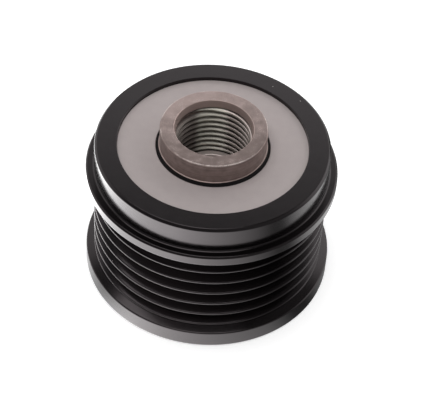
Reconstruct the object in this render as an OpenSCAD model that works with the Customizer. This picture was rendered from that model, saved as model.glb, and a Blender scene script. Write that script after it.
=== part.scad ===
// Overrunning alternator pulley. A grooved rim runs on two ball bearings round a
// threaded hub, and a roller one-way clutch between the bearings drives the hub.
// Millimetres. Z is the shaft axis and points towards the alternator. The pulley
// stands on its front face, at z = 0.

/* [Belt grooves] */
// Wall of the rim, from its bore to the crests of the ribs
belt_wall = 5.6; // [5:0.1:6.4]
// Distance from one rib to the next
rib_pitch = 3.56; // [3.4:0.02:3.6]
// Number of grooves
groove_count = 6; // [4:1:7]
// Angle between the two sides of a groove
groove_angle = 40; // [38:1:44]
// Rounding of a rib's crest
crest_round = 0.3; // [0.2:0.05:0.4]
// Rounding of a groove's root
root_round = 0.5; // [0.4:0.05:0.6]

/* [Rim] */
// Height of the front flange above the ribs
front_flange_h = 1.9; // [1:0.1:3.4]
// Front face to the corner of the first groove
front_flange_w = 5.2; // [4.4:0.1:5.6]
// Height of the rear flange above the ribs
rear_flange_h = 1.8; // [1:0.1:3.4]
// Corner of the last groove to the rear flange's rear side
rear_flange_w = 3.4; // [2.4:0.1:4]
// Slope of the flanges' inner sides
flange_slope = 18; // [10:1:24]
// Step from the corner of the end grooves to the flange's side
flange_step = 0.3; // [0.2:0.05:0.4]
// Rounding of the flange rims towards the belt
flange_round = 0.4; // [0.2:0.05:0.6]
// Chamfer round the front face
front_chamfer = 0.3; // [0.2:0.05:0.6]
// Chamfer on the rear flange's rear side
rear_flange_chamfer = 0.2; // [0.1:0.05:0.4]
// Length of the plain nose behind the rear flange
nose_length = 6.54; // [5:0.02:10]
// Step from the crests of the ribs in to the nose
nose_step = 0.2; // [0:0.05:1.6]
// Chamfer round the rear face
nose_chamfer = 0.7; // [0.3:0.05:1]
// Fillet where the nose meets the rear flange
nose_fillet = 0.3; // [0.15:0.05:0.6]

/* [Bearings] */
// Height of a bearing's section, from its bore to its outside
bearing_section = 8.5; // [8:0.1:8.8]
// Width of a bearing
bearing_w = 9; // [8.6:0.1:9.4]
// Radius of a ball
ball_r = 2.75; // [2.6:0.05:2.8]
// Balls in each bearing
ball_count = 9; // [7:1:9]
// Height of the race shoulders beside the balls
shoulder_h = 1; // [0.8:0.05:1.1]
// Thickness of a bearing seal
seal_t = 0.6; // [0.4:0.05:0.7]
// Depth of a bearing seal below the face of its bearing
seal_recess = 0.15; // [0.1:0.05:0.25]
// Gap between a ball cage and the seal behind it
shield_gap = 0.33; // [0.25:0.01:0.45]
// Height of the cage in front of the balls' middle
cage_front = 1.2; // [0.8:0.1:1.6]

/* [One-way clutch] */
// Step from the bearing seats out to the land, which the rollers run on
land_step = 2.5; // [2.2:0.1:2.7]
// Radius of a roller
roller_r = 1.5; // [1.4:0.05:1.6]
// Number of rollers
roller_count = 8; // [6:1:8]
// Thickness of the end rings of the roller cage
cage_end = 1.1; // [0.8:0.1:1.4]
// Wall of the roller cage, as a share of a roller's diameter
cage_share = 0.7; // [0.6:0.05:0.75]
// Room for a spring beside a roller
spring_room = 2.7; // [2.4:0.1:3]
// Thickness of the spring strip
spring_t = 0.16; // [0.12:0.02:0.2]
// Free space at each end of the spring strip
spring_side = 1.48; // [1:0.02:2.5]
// Rise of a clamping ramp for each degree
ramp_rise = 0.053; // [0.045:0.001:0.06]

/* [Hub] */
// Height of the hub above the rim's rear face
hub_proud = 4.65; // [3:0.05:8]
// Wall of the hub's neck round its plain mouth
neck_wall = 3.3; // [2.6:0.05:4]
// Step from the neck out to the bearing seats
journal_step = 0.5; // [0.4:0.05:0.8]
// Height of the fine ledge round the foot of the neck
ledge_h = 0.2; // [0.1:0.05:0.25]
// Depth of the ledge below the rim's rear face
ledge_drop = 0.2; // [0.1:0.05:0.3]
// Thickness of the ledge
ledge_t = 0.16; // [0.1:0.02:0.2]
// Major radius of the shaft thread
thread_r = 8; // [7.5:0.25:8.25]
// Step from the thread out to the plain mouth above it
mouth_step = 0.7; // [0.4:0.05:1]
// Depth of the plain mouth
mouth_depth = 2; // [1:0.1:3]
// Length of the thread with its lead-in
thread_length = 12.25; // [10:0.25:14]
// Step from the thread in to the hole below it
passage_step = 1.8; // [1.5:0.1:2.5]
// Depth of the toothed tool socket
socket_depth = 10.6; // [8:0.1:12]
// Wall of the hub round the socket's teeth
socket_wall = 3.6; // [3:0.1:4]
// Depth of the socket's teeth
socket_tooth = 0.6; // [0.4:0.05:0.7]
// Number of teeth in the socket
socket_teeth = 33; // [24:1:36]
// Depth of the hub's front end behind the rim's front face
hub_front = 2.6; // [2.4:0.1:3]

/* [Rear cover and seal] */
// Step from the bearing's bore out to the recess that holds the cover
cover_ledge = 0.6; // [0.4:0.1:1.2]
// Depth of the cover below the rim's rear face
cover_recess = 0.85; // [0.5:0.05:1.2]
// Thickness of the cover
cover_t = 1; // [0.8:0.1:1.4]
// Foot that stands the cover off the bearing's inner race
cover_foot = 0.35; // [0.3:0.05:0.5]
// Gap between the bearing seat's edge and the hole in the cover
cover_gap = 0.45; // [0.3:0.05:0.7]
// Rounding of the cover's outer edge
cover_round = 0.35; // [0.2:0.05:0.5]

/* [Front cap] */
// Thickness of the rim's front lip, which carries the front bearing
lip_t = 3.3; // [3:0.1:3.6]
// Height of the shoulder that the lip makes for the front bearing
lip_ledge = 1; // [0.8:0.1:1.2]
// Depth of the cap below the front face
cap_recess = 0.4; // [0.3:0.05:0.6]
// Thickness of the cap
cap_t = 1.2; // [0.8:0.1:1.4]
// Depth of the dish in the middle of the cap
cap_dish = 0.4; // [0.2:0.05:0.5]
// Radius of the dish in the middle of the cap
cap_dish_r = 10.5; // [8:0.5:14]
// Wall of the cap's skirt
skirt_wall = 1.3; // [1:0.1:1.6]
// Height of the snap bead on the cap's skirt
bead_h = 0.22; // [0.15:0.01:0.25]
// Width of the notches for prising the cap out
notch_w = 4; // [3:0.5:6]

/* [Clearances] */
// Gap left at a pressed seat
press_gap = 0.02; // [0.01:0.01:0.03]
// Gap between balls or rollers and what they roll on
roll_gap = 0.03; // [0.02:0.01:0.05]
// Gap round a ball in its pocket
pocket_gap = 0.12; // [0.1:0.01:0.15]
// Gap between a turning piece and a lip beside it
lip_gap = 0.08; // [0.06:0.01:0.1]
// Gap between a turning piece and a wall beside it
side_gap = 0.3; // [0.25:0.05:0.35]

/* [Hidden] */
$fn = 120;
BALLS = [1 : ball_count];
ROLLERS = [1 : roller_count];

// Radii, each from the one inside it: the hub, the bearings, the rim.
mouth_r = thread_r + mouth_step;
neck_r = mouth_r + neck_wall;
ledge_r = neck_r + ledge_h;
journal_r = neck_r + journal_step;
land_r = journal_r + land_step;
passage_r = thread_r - passage_step;
socket_r = journal_r - socket_wall - socket_tooth;
bearing_r = journal_r + bearing_section;
cover_r = bearing_r + cover_ledge;
cover_hole_r = journal_r + cover_gap;
lip_r = bearing_r - lip_ledge;
rib_r = bearing_r + belt_wall;
front_flange_r = rib_r + front_flange_h;
rear_flange_r = rib_r + rear_flange_h;
nose_r = rib_r - nose_step;

// The grooves: their sides are straight and touch both roundings.
flank = groove_angle / 2;
round_sum = crest_round + root_round;
groove_depth = (rib_pitch / 2 - round_sum * cos(flank)) / tan(flank) + round_sum * (1 - sin(flank));
root_r = rib_r - groove_depth;
last_rib_z = front_flange_w + groove_count * rib_pitch;
rear_flange_z = last_rib_z + rear_flange_w;
rim_height = rear_flange_z + nose_length;

// The stack inside the rim, from the front lip to the cover.
front_bearing_z = lip_t;
stack_top = rim_height - cover_recess - cover_t - cover_foot;
rear_bearing_z = stack_top - bearing_w;
clutch_z = front_bearing_z + bearing_w;
clutch_w = rear_bearing_z - clutch_z;
cover_top = rim_height - cover_recess;

// The bearings: the balls run midway between the bore and the outside.
pitch_r = (bearing_r + journal_r) / 2;
race_groove_r = ball_r * 1.04;
inner_groove_r = pitch_r - ball_r - roll_gap;
outer_groove_r = pitch_r + ball_r + roll_gap;
inner_shoulder_r = inner_groove_r + shoulder_h;
outer_shoulder_r = outer_groove_r - shoulder_h;
seal_seat_r = outer_shoulder_r + 0.7;
race_chamfer = 0.3;

// The clutch: a roller at rest just clears its ramp.
roller_pitch_r = land_r + roller_r + roll_gap;
roller_cage_in_r = land_r + side_gap;
cage_wall = 2 * roller_r * cage_share;
roller_cage_out_r = roller_cage_in_r + cage_wall;
sleeve_bore_r = roller_cage_out_r + side_gap / 2;
ramp_mid_r = roller_pitch_r + roller_r + 2 * roll_gap;
ramp_start = -9;
ramp_end = 6;
roller_step = 360 / roller_count;
roller_length = clutch_w - 2 * (side_gap + cage_end + pocket_gap);
spring_w = roller_length - 2 * spring_side;
lug_w = 1.4;
lug_h = 0.5;

// The hub, from its front end to its rear end.
hub_top = rim_height + hub_proud;
thread_top = hub_top - mouth_depth;
thread_end = thread_top - thread_length;
lead_in = mouth_r - thread_r;
socket_end = hub_front + socket_depth;
ledge_z = rim_height - ledge_drop;
edge_break = 0.25;

// The front cap, whose bead snaps into a groove in the lip.
skirt_r = lip_r - press_gap;
skirt_end = lip_t - side_gap;
bead_z = lip_t * 0.64;

function arc(cx, cz, r, from, to, steps) =
    [for (i = [0 : steps]) let (t = from + (to - from) * i / steps) [cx + r * cos(t), cz + r * sin(t)]];

function crest(z, from, to) = arc(rib_r - crest_round, z, crest_round, from, to, 6);

function groove_root(z) = arc(root_r + root_round, z, root_round, 270 - flank, 90 + flank, 5);

// How far a flange's rounded rim lies outside the corner of the end groove.
function flange_drop(flange_r) =
    flange_step
    + (flange_r - flange_round * (1 - sin(flange_slope)) - rib_r) * tan(flange_slope)
    + flange_round * cos(flange_slope);

module revolve(points) rotate_extrude() polygon(points);

module rim_profile() {
    crest_turn = 90 - flank;
    flange_turn = 90 - flange_slope;
    grooves = [
        for (k = [1 : groove_count])
            for (p = concat(
                groove_root(front_flange_w + (k - 0.5) * rib_pitch),
                k < groove_count ? crest(front_flange_w + k * rib_pitch, -crest_turn, crest_turn) : []
            )) p
    ];
    polygon(concat(
        [[front_flange_r - front_chamfer, 0], [front_flange_r, front_chamfer]],
        arc(front_flange_r - flange_round, front_flange_w - flange_drop(front_flange_r),
            flange_round, 0, flange_turn, 4),
        crest(front_flange_w, -60, crest_turn),
        grooves,
        crest(last_rib_z, -crest_turn, 60),
        arc(rear_flange_r - flange_round, last_rib_z + flange_drop(rear_flange_r),
            flange_round, -flange_turn, 0, 4),
        [[rear_flange_r, rear_flange_z - rear_flange_chamfer],
         [rear_flange_r - rear_flange_chamfer, rear_flange_z]],
        arc(nose_r + nose_fillet, rear_flange_z + nose_fillet, nose_fillet, 270, 180, 4),
        [[nose_r, rim_height - nose_chamfer],
         [nose_r - nose_chamfer, rim_height],
         [cover_r + edge_break, rim_height],
         [cover_r, rim_height - edge_break],
         [cover_r, stack_top],
         [bearing_r, stack_top],
         [bearing_r, front_bearing_z],
         [lip_r, front_bearing_z],
         [lip_r, bead_z + 2 * bead_h],
         [lip_r + bead_h + lip_gap, bead_z],
         [lip_r, bead_z - 2 * bead_h],
         [lip_r, edge_break],
         [lip_r + edge_break, 0]]
    ));
}

module pulley_rim() {
    color([0.09, 0.09, 0.09])
    rotate_extrude() rim_profile();
}

module hub_profile() {
    polygon([
        [socket_r + socket_tooth + edge_break, hub_front],
        [journal_r - edge_break, hub_front],
        [journal_r, hub_front + edge_break],
        [journal_r, clutch_z],
        [land_r, clutch_z],
        [land_r, rear_bearing_z],
        [journal_r, rear_bearing_z],
        [journal_r, stack_top - edge_break],
        [neck_r, stack_top],
        [neck_r, ledge_z - ledge_t],
        [ledge_r, ledge_z - ledge_t],
        [ledge_r, ledge_z - ledge_t / 2],
        [neck_r, ledge_z],
        [neck_r, hub_top - edge_break],
        [neck_r - edge_break, hub_top],
        [mouth_r + edge_break / 2, hub_top],
        [mouth_r, hub_top - edge_break / 2],
        [mouth_r, thread_top],
        [thread_r, thread_top - lead_in / 2],
        [thread_r, thread_end],
        [passage_r + edge_break, thread_end],
        [passage_r, thread_end - edge_break],
        [passage_r, socket_end],
        [socket_r, socket_end],
        [socket_r, hub_front + socket_tooth + edge_break]
    ]);
}

// The socket's teeth: V-shaped flutes cut into its wall.
module socket_flutes() {
    flute_root_r = socket_r + socket_tooth;
    inside_r = socket_r - 0.05;
    tooth_step = 360 / socket_teeth;
    translate([0, 0, hub_front - 1])
    linear_extrude(height = socket_depth + 0.5)
    polygon([
        for (i = [0 : socket_teeth - 1], corner = [0, 0.16, 0.5, 0.84])
            let (a = (i + corner) * tooth_step, r = corner == 0.5 ? inside_r : flute_root_r - (corner == 0 ? 0 : 0.14))
                [r * cos(a), r * sin(a)]
    ]);
}

module hub() {
    color([0.48, 0.42, 0.4])
    difference() {
        rotate_extrude() hub_profile();
        socket_flutes();
    }
}

module rear_cover() {
    out_r = cover_r - press_gap;
    color([0.62, 0.6, 0.6])
    revolve(concat(
        [[outer_shoulder_r, stack_top], [out_r, stack_top]],
        arc(out_r - cover_round, cover_top - cover_round, cover_round, 0, 90, 4),
        [[cover_hole_r + 0.1, cover_top],
         [cover_hole_r, cover_top - 0.1],
         [cover_hole_r, stack_top + cover_foot],
         [outer_shoulder_r - cover_foot, stack_top + cover_foot]]
    ));
}

// A rubber ring bonded in the cover's hole, with a lip that stands up round the neck.
module rear_seal() {
    out_r = cover_hole_r - press_gap;
    lip_in_r = neck_r + lip_gap;
    lip_top = ledge_z - ledge_t - lip_gap;
    lip_out_r = lip_in_r + 0.14;
    base_z = stack_top + cover_foot + lip_gap;
    color([0.05, 0.05, 0.05])
    revolve([
        [lip_in_r + 0.3, base_z],
        [out_r, base_z],
        [out_r, cover_top - 0.15],
        [out_r - 0.12, cover_top - 0.08],
        [out_r - 0.26, cover_top - 0.2],
        [lip_out_r, lip_top],
        [lip_in_r, lip_top],
        [lip_in_r, lip_top - 0.4],
        [lip_in_r + 0.3, lip_top - 0.8]
    ]);
}

module front_cap() {
    dish_z = cap_recess + cap_dish;
    inner_z = cap_recess + cap_t;
    notch_depth = 0.8;
    color([0.07, 0.07, 0.07])
    difference() {
        revolve([
            [0, dish_z],
            [cap_dish_r, dish_z],
            [cap_dish_r + cap_dish, cap_recess],
            [skirt_r - edge_break, cap_recess],
            [skirt_r, cap_recess + edge_break],
            [skirt_r, bead_z - 2 * bead_h],
            [skirt_r + bead_h, bead_z],
            [skirt_r, bead_z + 2 * bead_h],
            [skirt_r - edge_break, skirt_end],
            [skirt_r - skirt_wall, skirt_end],
            [skirt_r - skirt_wall, inner_z + edge_break],
            [skirt_r - skirt_wall - edge_break, inner_z],
            [cap_dish_r + cap_dish, inner_z],
            [cap_dish_r, inner_z + cap_dish],
            [0, inner_z + cap_dish]
        ]);
        for (a = [90, 210, 330])
            rotate([0, 0, a])
            translate([skirt_r - notch_depth, -notch_w / 2, 0])
            cube([2 * notch_depth, notch_w, cap_recess + 0.7 * cap_t]);
    }
}

// Bearing pieces, each with its bearing's front face at the given height.
module outer_race(z0) {
    seat_depth = seal_recess + seal_t + 0.1;
    color([0.7, 0.7, 0.72])
    translate([0, 0, z0])
    rotate_extrude()
    difference() {
        polygon([
            [outer_shoulder_r, seat_depth],
            [seal_seat_r, seat_depth],
            [seal_seat_r, 0],
            [bearing_r - press_gap - race_chamfer, 0],
            [bearing_r - press_gap, race_chamfer],
            [bearing_r - press_gap, bearing_w - race_chamfer],
            [bearing_r - press_gap - race_chamfer, bearing_w],
            [seal_seat_r, bearing_w],
            [seal_seat_r, bearing_w - seat_depth],
            [outer_shoulder_r, bearing_w - seat_depth]
        ]);
        translate([outer_groove_r - race_groove_r, bearing_w / 2]) circle(race_groove_r);
    }
}

module inner_race(z0) {
    color([0.7, 0.7, 0.72])
    translate([0, 0, z0])
    rotate_extrude()
    difference() {
        polygon([
            [journal_r + press_gap, race_chamfer],
            [journal_r + press_gap + race_chamfer, 0],
            [inner_shoulder_r - race_chamfer, 0],
            [inner_shoulder_r, race_chamfer],
            [inner_shoulder_r, bearing_w - race_chamfer],
            [inner_shoulder_r - race_chamfer, bearing_w],
            [journal_r + press_gap + race_chamfer, bearing_w],
            [journal_r + press_gap, bearing_w - race_chamfer]
        ]);
        translate([inner_groove_r + race_groove_r, bearing_w / 2]) circle(race_groove_r);
    }
}

module bearing_shield(z0) {
    in_r = inner_shoulder_r + 2 * lip_gap;
    out_r = seal_seat_r - press_gap;
    bend = 0.2;
    color([0.15, 0.15, 0.16])
    translate([0, 0, z0])
    revolve([
        [in_r, bend],
        [in_r + 3 * bend, bend],
        [in_r + 4 * bend, 0],
        [out_r - bend, 0],
        [out_r, bend],
        [out_r, seal_t],
        [in_r + 4 * bend, seal_t],
        [in_r + bend, seal_t],
        [in_r, seal_t - bend]
    ]);
}

// A one-piece crown: a ring behind the balls, with a spherical pocket round each.
module ball_cage(z0, facing) {
    pocket_r = ball_r + pocket_gap;
    in_r = inner_shoulder_r + side_gap;
    out_r = outer_shoulder_r - side_gap;
    back = bearing_w / 2 - seal_recess - seal_t - shield_gap;
    color([0.75, 0.66, 0.45])
    translate([0, 0, z0 + bearing_w / 2])
    mirror([0, 0, facing > 0 ? 0 : 1])
    difference() {
        translate([0, 0, -back])
        difference() {
            cylinder(r = out_r, h = back + cage_front);
            translate([0, 0, -1]) cylinder(r = in_r, h = back + cage_front + 2);
        }
        for (k = BALLS) rotate([0, 0, k * 360 / ball_count]) {
            translate([pitch_r, 0, 0]) sphere(pocket_r);
            translate([in_r - 1, -ball_r * 0.8, cage_front - 0.5]) cube([out_r, ball_r * 1.6, 1]);
        }
    }
}

module ball(z0, k) {
    color([0.8, 0.8, 0.82])
    rotate([0, 0, k * 360 / ball_count])
    translate([pitch_r, 0, z0 + bearing_w / 2])
    sphere(ball_r);
}

module rear_outer_race() outer_race(rear_bearing_z);
module rear_inner_race() inner_race(rear_bearing_z);
module rear_ball_cage() ball_cage(rear_bearing_z, -1);
module rear_ball(k) ball(rear_bearing_z, k);
module rear_outer_shield() bearing_shield(rear_bearing_z + bearing_w - seal_recess - seal_t);
module rear_inner_shield() bearing_shield(rear_bearing_z + seal_recess);
module front_outer_race() outer_race(front_bearing_z);
module front_inner_race() inner_race(front_bearing_z);
module front_ball_cage() ball_cage(front_bearing_z, 1);
module front_ball(k) ball(front_bearing_z, k);
module front_outer_shield() bearing_shield(front_bearing_z + seal_recess);
module front_inner_shield() bearing_shield(front_bearing_z + bearing_w - seal_recess - seal_t);

// Radius of the sleeve's inner wall at an angle from the middle of a roller.
function ramp_r(a) = ramp_mid_r - ramp_rise * a;

// The sleeve's wall round one roller: a ramp, then the bore with a notch for the cage.
function sleeve_sector(k) =
    let (notch = asin((lug_w / 2 + press_gap) / sleeve_bore_r), half = roller_step / 2,
         notch_r = roller_cage_out_r + lug_h + press_gap)
    [for (p = concat(
        [for (i = [0 : 5]) let (a = ramp_start + (ramp_end - ramp_start) * i / 5) [ramp_r(a), a]],
        [for (i = [0 : 4]) [sleeve_bore_r, ramp_end + 1 + (half - notch - ramp_end - 1) * i / 4]],
        [[notch_r, half - notch], [notch_r, half + notch]],
        [for (i = [0 : 3]) [sleeve_bore_r,
            half + notch + (roller_step + ramp_start - 0.5 - half - notch) * i / 3]]
    )) [p[0] * cos(p[1] + k * roller_step), p[0] * sin(p[1] + k * roller_step)]];

module clutch_sleeve() {
    color([0.66, 0.66, 0.68])
    translate([0, 0, clutch_z])
    difference() {
        revolve([
            [sleeve_bore_r - 1, 0],
            [bearing_r - press_gap - race_chamfer, 0],
            [bearing_r - press_gap, race_chamfer],
            [bearing_r - press_gap, clutch_w - race_chamfer],
            [bearing_r - press_gap - race_chamfer, clutch_w],
            [sleeve_bore_r - 1, clutch_w]
        ]);
        translate([0, 0, -1])
        linear_extrude(height = clutch_w + 2)
        polygon([for (k = ROLLERS, p = sleeve_sector(k)) p]);
    }
}

module clutch_cage() {
    cage_w = clutch_w - 2 * side_gap;
    window_w = roller_length + 2 * pocket_gap;
    color([0.2, 0.2, 0.2])
    translate([0, 0, clutch_z + side_gap])
    union() {
        difference() {
            cylinder(r = roller_cage_out_r, h = cage_w);
            translate([0, 0, -1]) cylinder(r = roller_cage_in_r, h = cage_w + 2);
            for (k = ROLLERS) rotate([0, 0, k * roller_step])
                translate([land_r - 1, -roller_r - spring_room, cage_end])
                cube([cage_wall + 4, spring_room + 2 * roller_r + pocket_gap, window_w]);
        }
        for (k = ROLLERS) rotate([0, 0, (k + 0.5) * roller_step])
            translate([roller_cage_out_r - 0.4, -lug_w / 2, 0])
            cube([lug_h + 0.4, lug_w, cage_w]);
    }
}

module clutch_roller(k) {
    color([0.78, 0.78, 0.8])
    rotate([0, 0, k * roller_step])
    translate([roller_pitch_r, 0, clutch_z + side_gap + cage_end + pocket_gap])
    revolve([
        [0, 0],
        [roller_r - 0.15, 0],
        [roller_r, 0.15],
        [roller_r, roller_length - 0.15],
        [roller_r - 0.15, roller_length],
        [0, roller_length]
    ]);
}

// One straight leg of the folded spring strip, with a round bend at its start.
module strip_leg(from, to) {
    run = to - from;
    translate(from) {
        circle(d = spring_t, $fn = 24);
        rotate(atan2(run[1], run[0])) translate([0, -spring_t / 2]) square([norm(run), spring_t]);
    }
}

// A strip folded in four legs, between the window's wall and the roller.
module clutch_spring(k) {
    inner_x = roller_cage_in_r + 0.4;
    outer_x = roller_cage_out_r - 0.3;
    wall_y = -roller_r - spring_room + spring_t / 2 + press_gap;
    touch_y = -roller_r - spring_t / 2 - 2 * press_gap;
    fold = (touch_y - wall_y) / 4;
    bends = [
        [inner_x, wall_y],
        [outer_x, wall_y + fold],
        [inner_x, wall_y + 2 * fold],
        [outer_x, wall_y + 3 * fold],
        [roller_pitch_r, touch_y]
    ];
    color([0.6, 0.6, 0.62])
    rotate([0, 0, k * roller_step])
    translate([0, 0, clutch_z + (clutch_w - spring_w) / 2])
    linear_extrude(height = spring_w)
    union() {
        for (i = [0 : 3]) strip_leg(bends[i], bends[i + 1]);
        translate(bends[4]) circle(d = spring_t, $fn = 24);
    }
}

pulley_rim();
hub();
rear_cover();
rear_seal();
front_cap();
rear_outer_race();
rear_inner_race();
rear_ball_cage();
rear_outer_shield();
rear_inner_shield();
front_outer_race();
front_inner_race();
front_ball_cage();
front_outer_shield();
front_inner_shield();
clutch_sleeve();
clutch_cage();
for (k = BALLS) rear_ball(k);
for (k = BALLS) front_ball(k);
for (k = ROLLERS) clutch_roller(k);
for (k = ROLLERS) clutch_spring(k);
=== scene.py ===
"""An overrunning alternator pulley: a grooved black rim, a threaded hub and a one-way clutch.

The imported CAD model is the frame. The pieces that show get finer shapes here, and every part
gets its finish. Lengths are in metres. Z is the shaft axis, and the pulley stands on its front
face.
"""

from math import atan2, cos, degrees, pi, radians, sin, tan

import bpy
from bpy.props import FloatProperty, FloatVectorProperty, IntProperty, PointerProperty
from mathutils import Matrix, Vector


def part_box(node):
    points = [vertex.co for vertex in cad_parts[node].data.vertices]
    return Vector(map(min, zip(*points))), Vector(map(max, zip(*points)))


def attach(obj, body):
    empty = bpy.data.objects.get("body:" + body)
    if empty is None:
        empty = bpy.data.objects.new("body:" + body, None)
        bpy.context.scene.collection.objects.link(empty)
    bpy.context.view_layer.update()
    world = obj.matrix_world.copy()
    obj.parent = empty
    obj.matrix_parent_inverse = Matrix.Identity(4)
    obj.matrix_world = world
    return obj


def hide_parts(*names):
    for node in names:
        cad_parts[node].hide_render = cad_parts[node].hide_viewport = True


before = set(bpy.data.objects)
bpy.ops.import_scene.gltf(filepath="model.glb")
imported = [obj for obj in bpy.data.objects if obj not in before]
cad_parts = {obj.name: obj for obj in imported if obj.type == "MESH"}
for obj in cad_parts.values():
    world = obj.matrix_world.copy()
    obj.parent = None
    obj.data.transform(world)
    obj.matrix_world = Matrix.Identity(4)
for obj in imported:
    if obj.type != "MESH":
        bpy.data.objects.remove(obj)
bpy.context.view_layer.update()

bl_info = {
    "name": "Alternator Pulley",
    "version": (1, 0, 0),
    "blender": (4, 5, 0),
    "location": "3D View > Sidebar > Pulley",
    "description": "Builds a grooved alternator pulley with its threaded hub, and a plain studio",
    "category": "Add Mesh",
}

MM = 0.001
STEPS = 216
RIM_STEPS = 288
THREAD_STEPS = 96
SHARP = 30
MERGE = 1e-6
HOLD = 0.05 * MM


# ---------------------------------------------------------------- sizes and colours

def length(name, description, default):
    return FloatProperty(name=name, description=description, default=default,
                         subtype="DISTANCE", unit="LENGTH", precision=5)


def angle(name, description, default):
    return FloatProperty(name=name, description=description, default=default,
                         subtype="ANGLE", unit="ROTATION")


def colour(name, description, default):
    return FloatVectorProperty(name=name, description=description, default=default,
                               size=3, min=0, max=1, subtype="COLOR")


def spot(name, description, default):
    return FloatVectorProperty(name=name, description=description, default=default,
                               size=3, subtype="TRANSLATION", unit="LENGTH")


def number(name, description, default):
    return FloatProperty(name=name, description=description, default=default)


def count(name, description, default, least):
    return IntProperty(name=name, description=description, default=default, min=least)


class RimSizes(bpy.types.PropertyGroup):
    rib_radius: length("Rib radius", "Radius over the crests of the belt ribs", 26.6 * MM)
    rib_pitch: length("Rib pitch", "Distance from one rib to the next", 3.56 * MM)
    groove_count: count("Grooves", "Number of belt grooves", 6, 1)
    groove_angle: angle("Groove angle", "Angle between the two sides of a groove", radians(40))
    crest_round: length("Crest round", "Rounding of a rib's crest", 0.3 * MM)
    root_round: length("Root round", "Rounding of a groove's root", 0.5 * MM)
    height: length("Height", "Height of the rim over both its faces",
                   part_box("pulley_rim")[1].z)
    front_flange: length("Front flange", "Radius of the flange at the front face",
                         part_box("pulley_rim")[1].x)
    front_flange_width: length("Front flange width",
                               "Front face to the corner of the first groove", 5.2 * MM)
    front_flange_edge: length("Front flange edge", "Chamfer of the front flange", 0.3 * MM)
    rear_flange: length("Rear flange", "Radius of the flange behind the grooves", 28.4 * MM)
    rear_flange_width: length("Rear flange width",
                              "Corner of the last groove to the flange's rear side", 3.4 * MM)
    rear_flange_edge: length("Rear flange edge", "Chamfer of the rear flange", 0.36 * MM)
    flange_slope: angle("Flange slope", "Slope of the flanges' sides towards the belt",
                        radians(18))
    flange_step: length("Flange step", "Step from an end groove's corner to its flange",
                        0.3 * MM)
    flange_round: length("Flange round", "Rounding of the flanges towards the belt", 0.4 * MM)
    nose: length("Nose radius", "Radius of the plain nose at the rear", 26.4 * MM)
    nose_fillet: length("Nose fillet", "Rounding between the rear flange and the nose",
                        0.5 * MM)
    nose_chamfer: length("Nose chamfer", "Chamfer round the rear face", 0.52 * MM)
    recess: length("Recess radius", "Radius of the recess that holds the cover", 21.45 * MM)
    recess_chamfer: length("Recess chamfer", "Chamfer at the recess's edge", 0.06 * MM)
    seat: length("Cover seat", "Height of the recess's floor, where the cover rests",
                 34.3 * MM)
    bearing: length("Bearing radius", "Radius of the bore that holds the bearings", 21.0 * MM)
    lip: length("Lip radius", "Bore of the lip at the front face", 20.0 * MM)
    lip_top: length("Lip top", "Height of the lip, which the front bearing rests on", 3.3 * MM)
    lip_chamfer: length("Lip chamfer", "Chamfer of the lip at the front face", 0.25 * MM)
    snap: length("Snap height", "Height of the middle of the groove for the cap's bead",
                 2.112 * MM)
    snap_reach: length("Snap reach", "Half the height of the groove for the cap's bead",
                       0.44 * MM)
    snap_depth: length("Snap depth", "Depth of the groove for the cap's bead", 0.3 * MM)


class HubSizes(bpy.types.PropertyGroup):
    top: length("Top", "Height of the hub's rear end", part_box("hub")[1].z)
    front: length("Front", "Height of the hub's front end", 2.6 * MM)
    neck: length("Neck radius", "Radius of the neck that stands out of the rim", 12.0 * MM)
    neck_foot: length("Neck foot", "Height where the neck starts", 34.3 * MM)
    neck_chamfer: length("Neck chamfer", "Chamfer round the rear end", 0.2 * MM)
    bead: length("Bead", "How far the bead at the seal stands out of the neck", 0.2 * MM)
    bead_foot: length("Bead foot", "Height of the bead's lower side", 36.14 * MM)
    bead_height: length("Bead height", "Height of the bead's outer side", 0.08 * MM)
    journal: length("Bearing seat radius", "Radius of the seats of the two bearings",
                    12.5 * MM)
    journal_edge: length("Bearing seat edge", "Chamfer of the seats of the two bearings",
                         0.25 * MM)
    land: length("Land radius", "Radius of the land that the rollers run on",
                 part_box("hub")[1].x)
    land_front: length("Land front", "Height of the land's front end", 12.3 * MM)
    land_rear: length("Land rear", "Height of the land's rear end", 25.3 * MM)
    thread: length("Thread radius", "Radius at the roots of the shaft thread", 8.85 * MM)
    thread_crest: length("Thread crest radius",
                         "Radius at the crests of the shaft thread's turns", 8.04 * MM)
    thread_pitch: length("Thread pitch", "Distance from one turn of the thread to the next",
                         1.5 * MM)
    thread_start: length("Thread start", "Height of the middle of the first turn", 26.16 * MM)
    thread_turns: number("Thread turns", "Number of turns of the thread", 8.4)
    thread_flank: angle("Thread flank", "Slope of the thread's sides", radians(30))
    mouth: length("Mouth radius", "Radius of the plain mouth above the thread", 8.8 * MM)
    mouth_chamfer: length("Mouth chamfer", "Chamfer round the mouth", 0.125 * MM)
    mouth_taper: length("Mouth taper", "How much the mouth narrows on its way down",
                        0.4 * MM)
    mouth_depth: length("Mouth depth", "Depth of the plain mouth", 1.75 * MM)
    web: length("Web height", "Height of the web that the thread ends on", 26.4 * MM)
    passage: length("Passage radius", "Radius of the hole below the thread", 6.2 * MM)
    passage_edge: length("Passage edge", "Chamfer round the hole below the thread", 0.25 * MM)
    socket: length("Socket radius", "Radius at the crests of the tool socket's teeth",
                   8.3 * MM)
    socket_floor: length("Socket floor", "Height of the tool socket's inner end", 13.2 * MM)
    socket_chamfer: length("Socket chamfer", "Chamfer round the tool socket's mouth",
                           0.85 * MM)
    socket_teeth: count("Socket teeth", "Number of teeth in the tool socket", 33, 6)


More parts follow.
